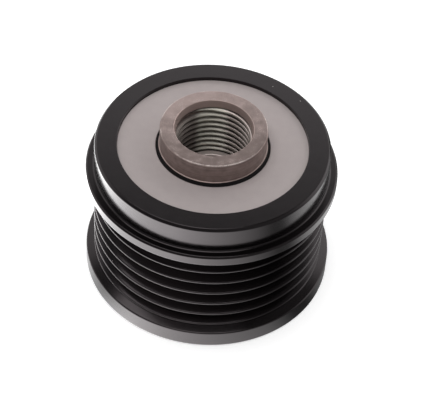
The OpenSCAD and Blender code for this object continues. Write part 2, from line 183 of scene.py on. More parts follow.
class CoverSizes(bpy.types.PropertyGroup):
    disc: length("Cover radius", "Outer radius of the rear cover", 21.44 * MM)
    top: length("Cover top", "Height of the rear cover's face", 35.65 * MM)
    foot: length("Cover foot", "Inner radius of the cover's underside", 19.28 * MM)
    foot_height: length("Cover foot height", "Step between the underside and its middle",
                        0.35 * MM)
    hole: length("Cover hole", "Radius of the hole in the rear cover", 12.82 * MM)
    hole_edge: length("Cover hole edge", "Chamfer round the hole", 0.1 * MM)
    edge: length("Cover edge", "Rounding of the cover's outer edge", 0.15 * MM)
    seal_lip: length("Seal lip", "Radius of the seal's lip", 12.08 * MM)
    seal_top: length("Seal top", "Height of the seal's lip", 36.06 * MM)
    seal_foot: length("Seal foot", "Height of the seal's underside", 34.73 * MM)
    cap: length("Cap radius", "Outer radius of the front cap's skirt", 19.98 * MM)
    cap_face: length("Cap face", "Height of the front cap's face", 0.4 * MM)
    cap_inner: length("Cap inner face", "Height of the front cap's inner face", 1.6 * MM)
    cap_skirt: length("Cap skirt", "Height of the front cap's skirt", 3.0 * MM)
    cap_wall: length("Cap wall", "Thickness of the front cap's skirt", 1.3 * MM)
    cap_bead: length("Cap bead", "How far the cap's bead stands out of its skirt", 0.22 * MM)
    cap_dish: length("Cap dish", "Radius of the dish in the middle of the front cap",
                     10.5 * MM)
    dish_depth: length("Dish depth", "Depth of the dish in the front cap", 0.4 * MM)
    notch: length("Notch width", "Width of the notches for prising the front cap out",
                  4.0 * MM)
    notch_depth: length("Notch depth", "How deep a notch goes into the cap's edge", 0.8 * MM)
    notch_height: length("Notch height", "How high a notch goes up the cap's skirt",
                         1.24 * MM)
    notch_round: length("Notch round", "Rounding of a notch's corners", 0.12 * MM)


class FinishColours(bpy.types.PropertyGroup):
    coating: colour("Rim coating", "Black coating of the rim", (0.003, 0.0024, 0.0026))
    coating_shine: colour("Coating shine", "Tint of the rim's reflections",
                          (1.0, 0.89, 0.92))
    dust: colour("Dust", "Specks of dust on the rim", (0.62, 0.6, 0.57))
    hub: colour("Hub", "Turned steel of the hub", (0.305, 0.235, 0.217))
    # Worn steel and painted highlight: the worn edge and scratches of the hub, and painted
    # highlights on that edge and on the web.
    rubbed_and_lit: colour("Rubbed edges", "Steel where the hub has been rubbed", (0.74, 0.65, 0.62))
    # Painted shade for the corner where the web meets the bore below the thread.
    corner_shade: colour("Grime", "Dirt in the corner below the thread", (0.03, 0.022, 0.02))
    thread: colour("Thread", "Steel inside the thread", (0.4, 0.385, 0.335))
    # Painted highlight along the upper edges of the thread's crests.
    crest_highlight: colour("Burr", "Bright line along the thread's crests", (0.66, 0.56, 0.53))
    cover: colour("Cover", "Blasted face of the rear cover", (0.385, 0.337, 0.332))
    rubber: colour("Rubber", "Seals", (0.006, 0.0045, 0.005))
    cap: colour("Cap", "Moulded plastic of the front cap", (0.022, 0.022, 0.023))
    bearing: colour("Bearing steel", "Races, sleeve, balls and rollers", (0.62, 0.61, 0.6))
    nylon: colour("Ball cage", "Glass-filled nylon of the ball cages", (0.55, 0.43, 0.24))
    black_nylon: colour("Roller cage", "Black nylon of the roller cage", (0.03, 0.03, 0.032))
    spring: colour("Springs", "Spring strip beside the rollers", (0.52, 0.51, 0.5))


class StudioSettings(bpy.types.PropertyGroup):
    elevation: angle("Camera elevation", "How far the camera looks down", 0.8138)
    roll: angle("Camera roll", "How far the camera leans to one side", -0.0635)
    distance: length("Camera distance", "Camera to the level of the aim height", 359.7 * MM)
    aside: length("Camera aside", "How far the camera stands to the right", 0.31 * MM)
    lower: length("Camera lower", "How far the camera stands below the line of aim",
                  12.496 * MM)
    aim_height: length("Aim height", "Height that the distances are measured from",
                       36.14 * MM)
    lens: FloatProperty(name="Lens", description="Focal length for a sensor 36 mm wide",
                        default=138.03, unit="CAMERA")
    floor_size: length("Floor", "Width of the floor", 4.0)
    floor_colour: colour("Floor colour", "Colour of the floor", (0.86, 0.86, 0.86))
    floor_glow: number("Floor glow", "Light that the floor adds of its own to the camera", 0.5)
    floor_sheen: number("Floor sheen", "Brightest level of the floor to shiny surfaces", 5.6)
    floor_shade: number("Floor shade", "Darkest level of the floor to shiny surfaces", 0.3)
    lamp_place: spot("Lamp place", "Where the softbox hangs", (-0.09, -0.06, 0.6))
    lamp_aim: spot("Lamp aim", "Where the softbox points", (0, 0, 0.02))
    lamp_width: length("Lamp width", "Width of the softbox", 0.6)
    lamp_depth: length("Lamp depth", "Depth of the softbox", 0.42)
    lamp_power: FloatProperty(name="Lamp power", description="Power of the softbox",
                              default=2.3, unit="POWER")


# ---------------------------------------------------------------- outlines

def arc(radius, height, bend, start, end, steps):
    """Points of a rounding about (radius, height), as corners that are left as they are."""
    angles = [radians(start + (end - start) * i / steps) for i in range(steps + 1)]
    return [(radius + bend * cos(a), height + bend * sin(a), 0) for a in angles]


def eased(outline, steps=3, most=0.45):
    """Turns each corner (radius, height, ease) of a closed outline into a short curve.

    The curve reaches `ease` along either side, or the share `most` of a shorter side.
    """
    points = []
    for i, (radius, height, ease) in enumerate(outline):
        corner = Vector((radius, height))
        if not ease:
            points.append(corner)
            continue
        back = Vector(outline[i - 1][:2]) - corner
        on = Vector(outline[(i + 1) % len(outline)][:2]) - corner
        start = corner + back.normalized() * min(ease, back.length * most)
        end = corner + on.normalized() * min(ease, on.length * most)
        for k in range(steps + 1):
            t = k / steps
            points.append(start.lerp(corner, t).lerp(corner.lerp(end, t), t))
    return points


def held(points, hold=HOLD):
    """Adds a point near each end of every long side, so that shading keeps the side straight."""
    result = []
    for i, a in enumerate(points):
        b = points[(i + 1) % len(points)]
        result.append(a)
        if (b - a).length > 5 * hold:
            step = (b - a).normalized() * hold
            result += [a + step, b - step]
    return result


# ---------------------------------------------------------------- modelling

def select_only(obj):
    bpy.ops.object.select_all(action="DESELECT")
    obj.select_set(True)
    bpy.context.view_layer.objects.active = obj


def start_piece(name):
    """Names the primitive that was just added and applies its place, turn and scale."""
    obj = bpy.context.active_object
    obj.name = obj.data.name = name
    bpy.ops.object.transform_apply(location=True, rotation=True, scale=True)
    return obj


def select_vertices(obj, indices):
    """Selects some vertices of the active piece and leaves it in Edit Mode."""
    bpy.ops.object.mode_set(mode="EDIT")
    bpy.ops.mesh.select_all(action="DESELECT")
    bpy.ops.object.mode_set(mode="OBJECT")
    for index in indices:
        obj.data.vertices[index].select = True
    bpy.ops.object.mode_set(mode="EDIT")


def draw_outline(name, points):
    """Draws a closed outline in the XZ plane by extruding one vertex from point to point."""
    bpy.ops.object.select_all(action="DESELECT")
    first = points[0]
    bpy.ops.mesh.primitive_plane_add(size=MM, location=(first.x, 0, first.y))
    obj = start_piece(name)
    bpy.ops.object.mode_set(mode="EDIT")
    bpy.ops.mesh.select_mode(type="VERT")
    bpy.ops.mesh.select_all(action="SELECT")
    bpy.ops.mesh.merge(type="CENTER")
    here = first
    for point in points[1:] + [first]:
        step = point - here
        bpy.ops.mesh.extrude_vertices_move(
            TRANSFORM_OT_translate={"value": (step.x, 0, step.y)})
        here = point
    return obj


def close_up(sharp=SHARP):
    """Merges what meets, turns faces outwards, and shades smoothly except over sharp edges."""
    bpy.ops.mesh.select_all(action="SELECT")
    bpy.ops.mesh.remove_doubles(threshold=MERGE)
    bpy.ops.mesh.normals_make_consistent(inside=False)
    bpy.ops.object.mode_set(mode="OBJECT")
    bpy.ops.object.shade_smooth_by_angle(angle=radians(sharp))


def turned(name, outline, steps=STEPS, hold=HOLD):
    """Turns a closed outline round the shaft axis."""
    obj = draw_outline(name, held(eased(outline), hold))
    bpy.ops.mesh.select_all(action="SELECT")
    bpy.ops.mesh.spin(steps=steps, angle=2 * pi, center=(0, 0, 0), axis=(0, 0, 1))
    close_up()
    return obj


def cut(obj, cutter):
    """Cuts one piece out of another and throws the cutter away."""
    select_only(obj)
    modifier = obj.modifiers.new("Cut", "BOOLEAN")
    modifier.operation = "DIFFERENCE"
    modifier.solver = "EXACT"
    modifier.object = cutter
    bpy.ops.object.modifier_apply(modifier=modifier.name)
    bpy.data.objects.remove(cutter)
    bpy.ops.object.shade_smooth_by_angle(angle=radians(SHARP))


def settle(obj, body, slot, finish, *nodes):
    """Gives a piece its finish and its body, and lets it stand for CAD nodes. The slot is not
    used.
    """
    if not len(obj.data.polygons):
        raise RuntimeError(f"{obj.name} came out with no faces")
    obj.data.materials.clear()
    obj.data.materials.append(finish)
    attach(obj, body)
    if nodes:
        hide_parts(*nodes)


# ---------------------------------------------------------------- finishes

class Value:
    """A number that varies over a surface. Sums with it add Math nodes to its finish."""

    def __init__(self, finish, socket):
        self.finish, self.socket = finish, socket

    def math(self, operation, *values):
        return self.finish.math(operation, *values)

    def __add__(self, other): return self.math("ADD", self, other)
    def __radd__(self, other): return self.math("ADD", other, self)
    def __sub__(self, other): return self.math("SUBTRACT", self, other)
    def __rsub__(self, other): return self.math("SUBTRACT", other, self)
    def __mul__(self, other): return self.math("MULTIPLY", self, other)
    def __truediv__(self, other): return self.math("DIVIDE", self, other)


class Finish:
    """A material, or the world, made of nodes."""

    def __init__(self, owner):
        self.owner = owner
        owner.use_nodes = True
        self.tree = owner.node_tree
        self.tree.nodes.clear()

    def node(self, kind, settings=None, sockets=None):
        """Adds a node with its settings, then the values or links of its sockets."""
        node = self.tree.nodes.new(kind)
        for key, value in (settings or {}).items():
            setattr(node, key, value)
        for key, value in (sockets or {}).items():
            self.plug(node.inputs[key], value)
        return node

    def plug(self, socket, value):
        if isinstance(value, Value):
            self.tree.links.new(value.socket, socket)
        elif socket.type == "RGBA":
            socket.default_value = (*value[:3], 1)
        else:
            socket.default_value = value

    def out(self, node, name=0):
        return Value(self, node.outputs[name])

    def math(self, operation, *values):
        node = self.node("ShaderNodeMath", {"operation": operation}, dict(enumerate(values)))
        return self.out(node)

    def mix(self, share, first, second):
        """A colour between two colours."""
        node = self.node("ShaderNodeMix", {"data_type": "RGBA"},
                         {"Factor": share, 6: first, 7: second})
        return self.out(node, 2)

    def apart(self, kind):
        """The three parts of one of the texture coordinates."""
        where = self.node("ShaderNodeTexCoord")
        parts = self.node("ShaderNodeSeparateXYZ", None, {0: self.out(where, kind)})
        return [self.out(parts, i) for i in range(3)]

    def place(self):
        """x, y, z and distance from the shaft axis, all in millimetres."""
        x, y, z = [part * 1000 for part in self.apart("Object")]
        return x, y, z, self.math("SQRT", x * x + y * y)

    def vector(self, x, y, z):
        return self.out(self.node("ShaderNodeCombineXYZ", None, {0: x, 1: y, 2: z}))

    def noise(self, where, scale=1.0, detail=2.0, rough=0.5, turn=None):
        settings = {"noise_dimensions": "4D" if turn is not None else "3D"}
        sockets = {"Vector": where, "Scale": scale, "Detail": detail, "Roughness": rough}
        if turn is not None:
            sockets["W"] = turn
        return self.out(self.node("ShaderNodeTexNoise", settings, sockets), "Fac")

    def between(self, value, low, high, to_low=0.0, to_high=1.0):
        """Maps low..high smoothly to to_low..to_high."""
        node = self.node("ShaderNodeMapRange", {"interpolation_type": "SMOOTHSTEP"},
                         {0: value, 1: low, 2: high, 3: to_low, 4: to_high})
        return self.out(node)

    def near(self, value, at, width):
        """1 where a value is `at`, falling to 0 at `width` from it."""
        return self.between(self.math("ABSOLUTE", value - at), 0.0, width, 1.0, 0.0)

    def turning(self, x, y, z, radius, fine, slow=0.05):
        """Tool marks that run round the axis: fine across it, slow along it."""
        where = self.vector(radius * fine, z * fine, x * slow)
        return self.noise(where, 1.0, 3.0, 0.6, turn=y * slow)

    def bump(self, height, depth, under=None):
        sockets = {"Strength": 1.0, "Distance": depth, "Height": height}
        if under is not None:
            sockets["Normal"] = under
        return self.out(self.node("ShaderNodeBump", None, sockets))

    def ray(self, kind):
        """1 for the rays of one kind, 0 for the others."""
        return self.out(self.node("ShaderNodeLightPath"), kind)

    def surface(self, **sockets):
        names = {key.replace("_", " "): value for key, value in sockets.items()}
        shader = self.node("ShaderNodeBsdfPrincipled", None, names)
        self.finish(self.out(shader))

    def finish(self, shader):
        world = isinstance(self.owner, bpy.types.World)
        kind = "ShaderNodeOutputWorld" if world else "ShaderNodeOutputMaterial"
        self.node(kind, None, {"Surface": shader})


def new_finish(name):
    return Finish(bpy.data.materials.new(name))


def toned(shade, by):
    """A colour made darker or lighter."""
    return tuple(min(part * by, 1) for part in shade)


def in_mm(size):
    return size / MM


def rim_coating(colours):
    """Satin black coating over turned steel, with a little dust."""
    f = new_finish("rim coating")
    x, y, z, r = f.place()
    here = f.vector(x, y, z)
    marks = f.turning(x, y, z, r, 9.0)
    cloud = f.noise(here, 0.35, 4.0)
    speck = f.node("ShaderNodeTexVoronoi", {"feature": "F1"},
                   {"Vector": here, "Scale": 0.62, "Randomness": 1.0})
    chance = f.out(f.node("ShaderNodeSeparateColor", None, {0: f.out(speck, "Color")}))
    few = f.math("GREATER_THAN", chance, 0.93)
    dust = f.between(f.out(speck, "Distance"), 0.03, 0.075, 1.0, 0.0) * few
    shade = f.mix(cloud, toned(colours.coating, 0.8), toned(colours.coating, 1.3))
    f.surface(Base_Color=f.mix(dust, shade, tuple(colours.dust)), IOR=1.42,
              Roughness=0.12 + marks * 0.08 + cloud * 0.04 + dust * 0.3,
              Specular_Tint=tuple(colours.coating_shine),
              Normal=f.bump(marks, 0.002 * MM, f.bump(cloud, 0.006 * MM)))
    return f.owner


def hub_steel(colours, sizes):
    """Warm grey turned steel, brighter where its outer edge is worn. Painted highlights lie on
    that edge, on the web and in the mouth, the rear end is painted lighter towards the far side
    and the left, and painted shade lies in the web's corner.
    """
    f = new_finish("turned hub steel")
    x, y, z, r = f.place()
    here = f.vector(x, y, z)
    top, neck, bore = in_mm(sizes.top), in_mm(sizes.neck), in_mm(sizes.thread)
    base = colours.hub
    marks = f.turning(x, y, z, r, 7.0)
    cloud = f.noise(here, 0.6, 4.0)
    fine = f.noise(here, 6.0, 3.0)
    worn = f.noise(here, 0.28, 3.0)
    rings = f.noise(f.vector(0.0, 0.0, z * 2.2), 1.0, 3.0, 0.6)

    # The turned wall, and the paler and blotchier rear end, which is also painted lighter towards
    # the far side and the left.
    lines = f.between(cloud * 0.4 + marks * 0.25 + rings * 0.35, 0.3, 0.7)
    wall = f.mix(lines, toned(base, 0.7), toned(base, 1.25))
    # Painted light: the y and x terms make the end lighter towards the far side and the left.
    blotches_and_light = cloud * 0.35 + worn * 0.35 + fine * 0.25 + marks * 0.15 + y * 0.016 - x * 0.005
    pale = (base[0] * 1.12, base[1] * 1.14, base[2] * 1.16)
    end = f.mix(f.between(blotches_and_light, 0.3, 0.8), toned(base, 0.5), pale)
    face = f.between(z, top - 0.1, top - 0.02)
    shade = f.mix(face, wall, end)

    # The worn outer edge, which also carries a painted highlight, a few scratches, a painted
    # highlight on the web, and painted shade in the web's corner.
    # Painted highlight on the worn outer edge of the rear end.
    edge = f.near(z, top - 0.05, 0.3) * f.near(r, neck - 0.1, 0.32)
    edge = edge * f.between(worn, 0.42, 0.6) * f.between(fine, 0.3, 0.6)
    across = f.vector(x * 0.5 + y * 3.0, y * 0.5 - x * 3.0, z)
    scratch = f.near(f.noise(across, 1.3, 2.0, turn=cloud * 0.6), 0.5, 0.012)
    scratch = face * scratch * f.between(cloud, 0.5, 0.62)
    # Painted highlight on the web below the thread.
    web = f.near(z, in_mm(sizes.web), 0.3) * f.between(r, bore + 0.05, bore + 0.25, 1.0, 0.0)
    bright = edge * 0.8 + scratch * 0.5 + web * 0.8
    shade = f.mix(bright, shade, tuple(colours.rubbed_and_lit))
    # Painted shade in the corner where the web meets the bore.
    shade = f.mix(web * f.between(r, 7.45, 7.8), shade, tuple(colours.corner_shade))

    # Painted light: the plain mouth above the thread is painted paler than the wall.
    inside, foot = in_mm(sizes.mouth) + 0.06, top - in_mm(sizes.mouth_depth)
    mouth = f.between(r, inside, inside + 0.1, 1.0, 0.0) * f.between(z, foot - 0.25, foot - 0.05)
    shade = f.mix(mouth, shade, toned(base, 1.6))
    f.surface(Base_Color=shade, Metallic=0.75, Roughness=0.42 + marks * 0.14 - edge * 0.12,
              Normal=f.bump(marks, 0.01 * MM, f.bump(fine * edge, 0.06 * MM)))
    return f.owner


def thread_steel(colours, sizes):
    """Cut thread with painted light: paler crests, a painted highlight along their upper edges,
    and painted shade on both sides of a plain strip behind the axis and before it.
    """
    f = new_finish("thread steel")
    x, y, z, r = f.place()
    here = f.vector(x, y, z)
    crest, root = in_mm(sizes.thread_crest), in_mm(sizes.thread)
    base = colours.thread
    cloud = f.noise(here, 0.8, 4.0)
    fine = f.noise(here, 7.0, 3.0)

    # How far a point lies from the middle of its turn, as a share of the pitch.
    turn = f.math("ARCTAN2", y, x) / (2 * pi)
    rise = (z - in_mm(sizes.thread_start)) / in_mm(sizes.thread_pitch)
    phase = f.math("WRAP", rise - turn, 0.5, -0.5)

    # Painted light: slightly paler towards the roots, against the shade in the grooves.
    shade = f.mix(f.between(r, crest + 0.12, root - 0.05), tuple(base), toned(base, 1.05))
    # Painted light: the crests are painted paler, as if lit.
    tip = f.between(r, crest + 0.03, crest + 0.14, 1.0, 0.0)
    shade = f.mix(tip * 0.7, shade, toned(base, 1.7))
    # Painted shade: the sides of the thread, left and right of a strip behind the axis and before
    # it, are painted dark, a little less on the crests.
    side_shade_mask = f.between(f.math("ABSOLUTE", x + cloud * 1.6 - 0.3), 2.4, 4.2)
    painted_side_shade = (base[0] * 0.24, base[1] * 0.18, base[2] * 0.19)
    shade = f.mix(side_shade_mask * (0.95 - tip * 0.2), shade, painted_side_shade)
    shade = f.mix(cloud * 0.3, shade, toned(base, 0.6))
    # Painted highlight along the upper edge of each crest, strongest on the right.
    crest_highlight = f.near(phase, 0.235, 0.07) * f.between(x + cloud * 4, 1.5, 5.5, 0.12, 1.0)
    shade = f.mix(crest_highlight, shade, tuple(colours.crest_highlight))
    f.surface(Base_Color=shade, Metallic=0.5, Roughness=0.34 + fine * 0.2,
              Normal=f.bump(fine, 0.01 * MM))
    return f.owner


def blasted_cover(colours):
    """Light grey metal, blasted to an even matt grain."""
    f = new_finish("blasted cover")
    x, y, z, r = f.place()
    here = f.vector(x, y, z)
    base = colours.cover
    grain = f.noise(here, 9.0, 3.0, 0.6)
    cloud = f.noise(here, 0.45, 5.0)
    speckle = f.between(f.noise(here, 3.4, 2.0), 0.66, 0.75)
    shade = f.mix(cloud, toned(base, 0.93), toned(base, 1.07))
    shade = f.mix(grain * 0.4, shade, toned(base, 0.82))
    shade = f.mix(speckle * 0.35, shade, toned(base, 0.72))
    f.surface(Base_Color=shade, Metallic=0.1, Roughness=0.62 + grain * 0.14,
              Normal=f.bump(grain, 0.04 * MM))
    return f.owner


def plain_metal(name, shade, fine, rough, depth=0.004 * MM):
    """Ground or polished steel with fine marks round the shaft."""
    f = new_finish(name)
    x, y, z, r = f.place()
    marks = f.turning(x, y, z, r, fine)
    cloud = f.noise(f.vector(x, y, z), 0.9, 3.0)
    f.surface(Base_Color=f.mix(cloud, toned(shade, 0.88), toned(shade, 1.08)), Metallic=1.0,
              Roughness=rough + marks * rough * 0.5, Normal=f.bump(marks, depth))
    return f.owner


def moulded(name, shade, fine, rough, depth, gloss=0.5):
    """Rubber or moulded plastic with an even grain."""
    f = new_finish(name)
    x, y, z, r = f.place()
    here = f.vector(x, y, z)
    grain = f.noise(here, fine, 2.0, 0.6)
    cloud = f.noise(here, 0.5, 4.0)
    f.surface(Base_Color=f.mix(cloud, toned(shade, 0.82), toned(shade, 1.18)),
              Roughness=rough + grain * 0.15, Specular_IOR_Level=gloss,
              Normal=f.bump(grain, depth))
    return f.owner


# ---------------------------------------------------------------- operators

class PULLEY_OT_rim(bpy.types.Operator):
    """Turn the grooved rim"""
    bl_idname = "pulley.rim"
    bl_label = "Grooved Rim"

    def execute(self, context):
        s = context.scene.pulley_rim
        outline = self.front_flange(s) + self.grooves(s) + self.rear_flange(s)
        outline += self.inner_side(s)
        rim = turned("grooved_rim", outline, RIM_STEPS)
        settle(rim, "rim", "rim_black", rim_coating(context.scene.pulley_colours),
               "pulley_rim")
        return {"FINISHED"}

    def drop(self, s, radius):
        """How far a flange's rounding lies from the corner of the end groove."""
        slope = s.flange_slope
        shoulder = radius - s.flange_round * (1 - sin(slope))
        return (s.flange_step + (shoulder - s.rib_radius) * tan(slope)
                + s.flange_round * cos(slope))

    def front_flange(self, s):
        edge, bend = s.front_flange_edge, s.flange_round
        height = s.front_flange_width - self.drop(s, s.front_flange)
        return [(s.front_flange - edge, 0, 0.1 * MM), (s.front_flange, edge, 0.1 * MM),
                *arc(s.front_flange - bend, height, bend, 0, 90 - degrees(s.flange_slope), 5)]

    def grooves(self, s):
        """Round crests and round roots, with straight sides between them."""
        flank = s.groove_angle / 2
        both = s.crest_round + s.root_round
        depth = (s.rib_pitch / 2 - both * cos(flank)) / tan(flank) + both * (1 - sin(flank))
        root = s.rib_radius - depth + s.root_round
        crest = s.rib_radius - s.crest_round
        turn = 90 - degrees(flank)
        first = s.front_flange_width
        outline = arc(crest, first, s.crest_round, -60, turn, 6)
        for k in range(s.groove_count):
            middle = first + (k + 0.5) * s.rib_pitch
            outline += arc(root, middle, s.root_round, 180 + turn, 180 - turn, 6)
            end = 60 if k == s.groove_count - 1 else turn
            outline += arc(crest, middle + s.rib_pitch / 2, s.crest_round, -turn, end, 6)
        return outline

    def rear_flange(self, s):
        """The rear flange, and the nose behind it with its fillet and chamfer."""
        last = s.front_flange_width + s.groove_count * s.rib_pitch
        rear = last + s.rear_flange_width
        edge, bend, fillet = s.rear_flange_edge, s.flange_round, s.nose_fillet
        outline = arc(s.rear_flange - bend, last + self.drop(s, s.rear_flange), bend,
                      degrees(s.flange_slope) - 90, 0, 5)
        outline += [(s.rear_flange, rear - edge, 0.1 * MM),
                    (s.rear_flange - edge, rear, 0.1 * MM)]
        outline += arc(s.nose + fillet, rear + fillet, fillet, 270, 180, 6)
        return outline + [(s.nose, s.height - s.nose_chamfer, 0.16 * MM),
                          (s.nose - s.nose_chamfer, s.height, 0.1 * MM)]

    def inner_side(self, s):
        """The recess for the cover, the bore for the bearings, and the lip for the cap."""
        return [(s.recess + s.recess_chamfer, s.height, 0.02 * MM),
                (s.recess, s.height - s.recess_chamfer, 0.02 * MM),
                (s.recess, s.seat, 0), (s.bearing, s.seat, 0.05 * MM),
                (s.bearing, s.lip_top, 0), (s.lip, s.lip_top, 0.05 * MM),
                (s.lip, s.snap + s.snap_reach, 0), (s.lip + s.snap_depth, s.snap, 0),
                (s.lip, s.snap - s.snap_reach, 0), (s.lip, s.lip_chamfer, 0.08 * MM),
                (s.lip + s.lip_chamfer, 0, 0.08 * MM)]


class PULLEY_OT_hub(bpy.types.Operator):
    """Turn the hub, cut its toothed socket and lay the shaft thread in it"""
    bl_idname = "pulley.hub"
    bl_label = "Hub and Thread"

    def execute(self, context):
        s = context.scene.pulley_hub
        colours = context.scene.pulley_colours
        hub = turned("threaded_hub", self.outer_side(s) + self.inner_side(s))
        cut(hub, self.socket_cutter(s))
        settle(hub, "hub", "hub_steel", hub_steel(colours, s), "hub")
        settle(self.thread(s), "hub", "hub_steel", thread_steel(colours, s))
        return {"FINISHED"}

    def outer_side(self, s):
        """The two bearing seats with the rollers' land between them, and the neck."""
        edge, bead = s.journal_edge, s.neck + s.bead
        return [(s.socket + s.socket_chamfer, s.front, 0.08 * MM),
                (s.journal - edge, s.front, 0.08 * MM),
                (s.journal, s.front + edge, 0.08 * MM), (s.journal, s.land_front, 0),
                (s.land, s.land_front, 0.1 * MM), (s.land, s.land_rear, 0.1 * MM),
                (s.journal, s.land_rear, 0), (s.journal, s.neck_foot - edge, 0.08 * MM),
                (s.neck, s.neck_foot, 0), (s.neck, s.bead_foot, 0),
                (bead, s.bead_foot, 0.03 * MM), (bead, s.bead_foot + s.bead_height, 0.03 * MM),
                (s.neck, s.bead_foot + 2 * s.bead_height, 0),
                (s.neck, s.top - s.neck_chamfer, 0.16 * MM),
                (s.neck - s.neck_chamfer, s.top, 0.16 * MM)]

    def inner_side(self, s):
        """The mouth, the plain wall that carries the thread, the passage and the socket."""
        foot = s.top - s.mouth_depth
        return [(s.mouth + s.mouth_chamfer, s.top, 0.06 * MM),
                (s.mouth, s.top - s.mouth_chamfer, 0.06 * MM),
                (s.mouth - s.mouth_taper, foot, 0.05 * MM),
                (s.thread, foot - 0.2 * MM, 0.02 * MM), (s.thread, s.web, 0),
                (s.passage + s.passage_edge, s.web, 0.08 * MM),
                (s.passage, s.web - s.passage_edge, 0.08 * MM),
                (s.passage, s.socket_floor, 0.08 * MM), (s.socket, s.socket_floor, 0),
                (s.socket, s.front + s.socket_chamfer, 0.08 * MM)]

    def socket_cutter(self, s):
        """A toothed bar: of each four corners of a circle, one goes out and one goes in."""
        pitch, root, tip = s.socket + 0.46 * MM, s.socket + 0.6 * MM, s.socket - 0.05 * MM
        start = (0, 0, s.front - 1.0 * MM)
        corners = 4 * s.socket_teeth
        bpy.ops.object.select_all(action="DESELECT")
        bpy.ops.mesh.primitive_circle_add(vertices=corners, radius=pitch, fill_type="NGON",
                                          location=start)
        cutter = start_piece("socket_cutter")
        for offset, radius in ((0, root), (2, tip)):
            select_vertices(cutter, range(offset, corners, 4))
            grow = radius / pitch
            bpy.ops.transform.resize(value=(grow, grow, 1), center_override=start)
        bpy.ops.mesh.select_all(action="SELECT")
        reach = s.socket_floor - 0.5 * MM - start[2]
        bpy.ops.mesh.extrude_region_move(TRANSFORM_OT_translate={"value": (0, 0, reach)})
        close_up()
        return cutter

    def ridge_outline(self, s):
        """Section of one turn: its foot in the wall takes seven eighths of the pitch."""
        half = s.thread_pitch * 7 / 16
        edge = half - (s.thread - s.thread_crest) * tan(s.thread_flank)
        foot, shoulder = s.thread + 0.05 * MM, s.thread_crest + 0.06 * MM
        lower = [(foot, half), (s.thread, half), (shoulder, edge + 0.02 * MM),
                 (s.thread_crest, edge - 0.05 * MM)]
        points = [(radius, -rise) for radius, rise in lower] + lower[::-1]
        return [Vector((radius, s.thread_start + rise)) for radius, rise in points]

    def thread(self, s):
        """One ridge wound up the bore, thinned out at both ends."""
        ridge = draw_outline("shaft_thread", self.ridge_outline(s))
        bpy.ops.mesh.select_all(action="SELECT")
        bpy.ops.mesh.remove_doubles(threshold=MERGE)
        bpy.ops.object.mode_set(mode="OBJECT")
        modifier = ridge.modifiers.new("Turns", "SCREW")
        modifier.axis = "Z"
        modifier.angle = 2 * pi * s.thread_turns
        modifier.screw_offset = s.thread_pitch * s.thread_turns
        modifier.iterations = 1
        modifier.steps = modifier.render_steps = round(THREAD_STEPS * s.thread_turns)
        modifier.use_smooth_shade = False
        select_only(ridge)
        bpy.ops.object.modifier_apply(modifier=modifier.name)
        self.thin_ends(ridge, s)
        bpy.ops.object.mode_set(mode="EDIT")
        bpy.ops.mesh.select_all(action="DESELECT")
        bpy.ops.mesh.select_non_manifold()
        bpy.ops.mesh.fill_holes(sides=0)
        close_up(40)
        return ridge

    def thin_ends(self, ridge, s, run=2 * pi / 6, least=0.04):
        """Shrinks the last rings of the ridge, within `run`, towards the wall of the bore."""
        foot = s.thread + 0.05 * MM
        climb = s.thread_pitch / (2 * pi)
        rings = {}
        for vertex in ridge.data.vertices:
            around = atan2(vertex.co.y, vertex.co.x)
            risen = (vertex.co.z - s.thread_start) / climb
            turn = around + 2 * pi * round((risen - around) / (2 * pi))
            rings.setdefault(round(turn, 4), []).append(vertex.index)
        for turn, members in rings.items():
            left = min(turn, 2 * pi * s.thread_turns - turn)
            if left > run:
                continue
            share = max(left / run, least)
            middle = (foot * cos(turn), foot * sin(turn), s.thread_start + climb * turn)
            select_vertices(ridge, members)
            bpy.ops.transform.resize(value=(share, share, share), center_override=middle)
            bpy.ops.object.mode_set(mode="OBJECT")


